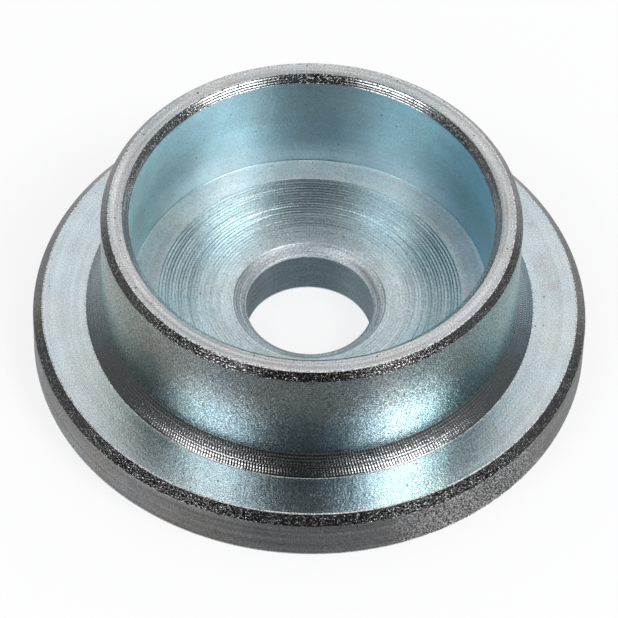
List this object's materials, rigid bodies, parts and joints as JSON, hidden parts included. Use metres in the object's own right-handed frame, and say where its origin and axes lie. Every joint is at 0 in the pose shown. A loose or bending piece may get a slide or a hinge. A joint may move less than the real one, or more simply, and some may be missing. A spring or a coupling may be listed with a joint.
{
  "type": "flanged ring nut",
  "caption": "Turned steel ring nut: a deep round cup on a wide flat flange, with a plain clearance hole through its floor.",
  "frame": {"origin": "centre of the flange's underside, on the axis of the hole", "axes": "+Z along the axis, from the flange's underside to the cup's rim; the part is a solid of revolution, so X and Y are free"},
  "size_m": [0.06, 0.06, 0.0203],
  "materials": {
    "zinc_plated_steel": "turned steel with bright zinc plate and a thin blue passivation; fine turning rings on every face"
  },
  "bodies": {
    "root": {"ring_nut": "zinc_plated_steel"}
  },
  "joints": []
}
